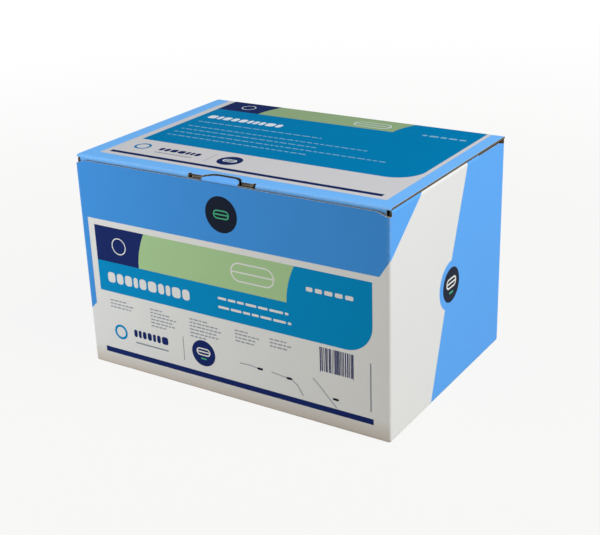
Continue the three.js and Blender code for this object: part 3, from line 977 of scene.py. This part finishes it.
def upright_bars(x0, x1, low, high, seed):
    """Bars and gaps of one to three modules, drawn at random, with a longer bar at each end."""
    rng = np.random.default_rng(seed)
    module = (x1 - x0) / MODULES
    bars, x = [], x0
    while x < x1 - 4 * module:
        width = module * rng.integers(1, 4)
        bars.append(bar(x, low, x + width, high))
        x += width + module * rng.integers(1, 4)
    return bars + [bar(x0, low - GUARD, x0 + module, low), bar(x1 - module, low - GUARD, x1, high)]


upright = upright_bars(73.2, 98.6, 40.5, 58, 7)
print("upright bars:", len(upright))


# %% The label's upper part
def upper_label():
    """Fields of colour with the ring, the tablet and four rows of blocks, and the disc above them."""
    fields = label_fields(-113.2, 112.6, 60.6, 84.2, 111.2)
    white = tablet_mark(22.5, 98.2, 34, 13, 1) + ribbon(disc(-92, 97.5, 6), 0.8, closed=True)
    white += block_row(-104.8, -29, 68.2, 76.2, 21, 0.95, 0.2)
    white += block_row(-6.9, 50, 75, 76.8, 22, 6, 0.8) + block_row(-6.9, 52, 68.4, 70.2, 23, 6, 0.8)
    white += block_row(64.2, 102, 95.6, 98.6, 24, 2.6, 0.6)
    fields += inked(white, "white", 2) + inked([disc(0, 136.8, 12.8)], "dark", 1)
    return fields + inked(tablet_mark(0, 136.8, 12, 5.4, 0.9), "mint", 2)


label = upper_label()
print("fields in the upper part:", len(label))

# %% The label's lower part
SMALL_ROWS = (
    (-105, -84, 54.5, (0.7, 1, 0.9)), (-68, -45, 54.8, (0.5, 0.8, 1, 0.9, 0.95, 0.6)),
    (-33, -6, 55, (0.6, 0.9, 1, 0.85, 0.9, 0.5)), (5.7, 25.7, 55, (0.6, 1, 0.9, 0.8)),
    (34.2, 52.8, 55, (0.7, 1, 0.8)),
)
THIN_LINES = (  # each with the corner of the small bar on it
    ([(8.5, 30.2), (18, 30.4), (24, 29.6)], (23, 28.8)),
    ([(34.5, 29.6), (42, 28.8), (50, 28.2), (55, 25), (59.5, 18)], (46.5, 27.4)),
    ([(67.5, 33.5), (73, 28.5), (79, 22), (85.5, 15.6)], (82.5, 21)),
)


def lower_label():
    """Small rows of blocks, the ring and bar, the disc, thin lines, upright bars and the long bar below."""
    grey = [bar(-84, 23.5, -54, 24.7), bar(-40.2, 20.5, -39.7, 39), bar(110.6, 20, 111.5, 55)]
    for x0, x1, top, shares in SMALL_ROWS:
        grey += block_rows(x0, x1, top, 2.6, 0.9, shares)
    for path, _ in THIN_LINES:
        grey += ribbon(path, 0.6)
    navy = [disc(-22.5, 30, 10), bar(-113.5, 10.6, 112.9, 14.8)] + upright
    navy += block_row(-85, -50, 28.5, 34.5, 25, 0.95, 0.2)
    fields = inked(grey, "grey", 1) + inked(navy, "navy", 1)
    fields += inked([bar(u, v, u + 4.5, v + 1.7, 0.8) for _, (u, v) in THIN_LINES], "dark", 1.5)
    fields += inked(ribbon(disc(-97.5, 29.4, 5), 1.8, closed=True), "teal", 1)
    fields += inked(tablet_mark(-22.5, 31, 11, 5, 1), "white", 2)
    return fields + inked([bar(-25, 25.2, -20, 26.2)], "mint", 2)


label += lower_label()
print("fields in both parts:", len(label))


# %% The label on the front and on the back
def on_back(s, h, lift):
    """The same places half way round the box."""
    return on_walls(s + ROUND / 2, h, lift)


back_white = (bar(LABEL_LEFT, 5, -LABEL_LEFT, LABEL_TOP), "white", 0.5)
film("front_print", "carton", label, on_walls, front_inks)
film("back_print", "carton", [back_white] + label, on_back, front_inks)


# %% Side badges
def side_badge(s):
    """A dark disc with a plain white tablet and a short mint bar."""
    white = tablet_mark(s, DISC_Z + 1.5, 14, 6.4, 1.3)
    mint = [bar(s - 3, DISC_Z - 6.4, s + 3, DISC_Z - 5)]
    return inked([disc(s, DISC_Z, 12.6)], "dark", 1) + inked(white, "white", 2) + inked(mint, "mint", 2)


film("side_badges", "carton", side_badge(side_s(DISC_Y)) + side_badge(-side_s(DISC_Y)), on_walls, front_inks)

# %% [markdown]
# ## The lid's label
#
# The lid repeats the label on a grey-white panel, with a taller teal field. It could be the front's label
# stretched, but the real sheet spaces it anew, so it has its own measures in the lid's plane.

# %% The lid's label
def lid_print():
    """The same fields, rows, ring, bar and discs, laid out from the front fold to the hinge."""
    back = HALF_DEPTH - BOARD
    fields = inked([bar(-113.4, -73.4, 115.6, back)], "panel", 0)
    fields += label_fields(-107.2, 112.4, -33.5, 60.6, back)
    white = tablet_mark(26.8, 70.8, 30, 10.5, 0.8) + ribbon(disc(-86, 73, 5.5), 0.8, closed=True)
    white += block_row(-99.5, -26, 34.5, 42.5, 31, 0.95, 0.2)
    white += tablet_mark(-17.5, -50, 10, 4.6, 1)
    pale = block_row(72, 106, 61.4, 64.4, 34, 2.6, 0.6) + block_row(-99, 11, 23.1, 24.5, 32, 5.5, 0.9)
    pale += block_rows(-99, 62, 11.5, 8.6, 1.4, (0.96, 0.74, 1.11, 0.75), 33)
    fields += inked(white, "white", 2) + inked(pale, "pale_teal", 2)
    navy = [bar(-108.8, -68.6, 109.6, -64.6), disc(-17.5, -50, 9.2)]
    navy += block_row(-79, -40, -51.5, -45.5, 35, 0.95, 0.2)
    grey = [bar(-78, -56.5, -46, -55.2), bar(-34.2, -58, -33.7, -41)]
    fields += inked(navy, "navy", 1) + inked(grey, "grey", 1)
    return fields + inked(ribbon(disc(-94.5, -48.5, 5.5), 1.8, closed=True), "teal", 1)


film("lid_print", "lid", lid_print(), on_lid, lid_inks)

# %% [markdown]
# ## The boluses
#
# A bolus is pressed from powder in a split die: a smooth round bar with rounded ends, matt and slightly
# speckled, with a raised band where the die's halves met. A cylinder with a bevel would come close, but
# turning gives the shoulder its true round: the radius is a function of height, swept through a circle.

# %% Pressed powder
POWDER_PATTERNS = ((14, 2, 0.5), (1.4, 3, 0.65), (0.8, 3, 0.5))  # clouds, specks and grains


def pressed_powder(name):
    """Beige clouds, with darker herb specks about a millimetre across and a grainy surface."""
    material, tree, place = new_material(name)
    clouds, specks, grains = [
        add(tree, "TexNoise", {"Vector": place, "Scale": 1 / (size * MM), "Detail": fine, "Roughness": rough})
        for size, fine, rough in POWDER_PATTERNS]
    shown = add(tree, "MapRange", {"Value": specks, "From Min": 0.56, "From Max": 0.68})
    tone = linear("#D9CBA6")
    for share, colour in ((clouds, "#C7B78F"), (shown, "#8F7B52")):
        tone = add(tree, "Mix", {0: share, 6: tone, 7: linear(colour)}, 2, data_type="RGBA")
    finish(tree, tone, 0.82, grains, 0.5, 0.25)
    return material


# pressed herbs and minerals: dull as chalk, and specked close up
powder = pressed_powder("pressed_powder")
print("powder", powder.name)

# %% The turned body
BOLUS_RADIUS = 17.5
BOLUS_SHOULDER = 9.0
AROUND = 64
SHOULDER_STEPS = 8


def closed_grid(rows, columns):
    """Faces of a grid that closes on itself along its columns, with one face over each end. They point
    outwards where the columns run anticlockwise as seen from the last row."""
    numbers = np.arange(rows * columns).reshape(rows, columns)
    after = np.roll(numbers, -1, axis=1)
    sides = np.stack([numbers[:-1], after[:-1], after[1:], numbers[1:]], axis=-1).reshape(-1, 4)
    return sides.tolist() + [numbers[0, ::-1].tolist(), numbers[-1].tolist()]


def bolus_rows(length):
    """x, y = r * (cos, sin)(turn), and z: r and z follow a quarter circle at each end, straight between."""
    a = np.linspace(0, math.pi / 2, SHOULDER_STEPS + 1)
    r = BOLUS_RADIUS - BOLUS_SHOULDER + BOLUS_SHOULDER * np.sin(a)
    z = BOLUS_SHOULDER * (1 - np.cos(a))
    r, z = np.concatenate([r, r[::-1]]), np.concatenate([z, length - z[::-1]])
    turn = np.linspace(0, 2 * math.pi, AROUND, endpoint=False)
    circle = np.stack([np.cos(turn), np.sin(turn)], axis=-1)
    upright = np.broadcast_to(z[:, None, None], (len(z), AROUND, 1))
    return np.concatenate([r[:, None, None] * circle, upright], axis=-1)


print("bolus rows", bolus_rows(95.0).shape)

# %% The parting band
BAND_HALF = 1.6
BAND_PROUD = 0.4
BAND_BEVEL = 0.25
BAND_SLACK = 0.35  # the band stands less proud at the two ends, so that it stays in the cell


def band_rows(length):
    """The bolus's outline, grown by the band's height: four rings across it, the outer two pulled in by the
    bevel towards the middle."""
    out, end = BOLUS_RADIUS + BAND_PROUD, BAND_PROUD - BAND_SLACK
    rim = np.array(bar(-out, -end, out, length + end, BOLUS_SHOULDER + BAND_PROUD))
    inward = unit(np.array([0.0, length / 2]) - rim)
    across = np.array([BAND_HALF, BAND_HALF - BAND_BEVEL, BAND_BEVEL - BAND_HALF, -BAND_HALF])
    pulled = np.array([BAND_BEVEL, 0.0, 0.0, BAND_BEVEL])
    rings = rim[None] + inward[None] * pulled[:, None, None]
    y = np.broadcast_to(across[:, None], rings.shape[:2])
    return np.stack([rings[..., 0], y, rings[..., 1]], axis=-1)


print("band rows", band_rows(95.0).shape)


# %% Each bolus in its cell
TURN_STEP = 40.0  # degrees from one bolus's band to the next, since they are dropped in by hand
SHARP = 40  # degrees between faces from which an edge stays sharp


def add_bolus(node, turn_degrees):
    """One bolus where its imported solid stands, turned about the upright."""
    low, high = box_mm(node)
    body, band = bolus_rows(high[2] - low[2]), band_rows(high[2] - low[2])
    points = np.concatenate([body.reshape(-1, 3), band.reshape(-1, 3)])
    faces = closed_grid(*body.shape[:2])
    faces += [[corner + body[..., 0].size for corner in face] for face in closed_grid(*band.shape[:2])]
    a = math.radians(turn_degrees)
    spin = np.array([[math.cos(a), -math.sin(a), 0], [math.sin(a), math.cos(a), 0], [0, 0, 1]])
    centre = (low + high) / 2
    placed = (points @ spin.T + [centre[0], centre[1], low[2]]) * MM
    mesh = bpy.data.meshes.new(f"{node}_pressed")
    mesh.from_pydata(placed.tolist(), [], faces)
    mesh.polygons.foreach_set("use_smooth", [True] * len(mesh.polygons))
    mesh.set_sharp_from_angle(angle=math.radians(SHARP))
    mesh.materials.append(powder)
    obj = new_object(f"{node}_pressed", mesh)
    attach(obj, "carton")
    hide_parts(node)


for number in range(1, 13):
    add_bolus(f"bolus_{number:02d}", TURN_STEP * number)
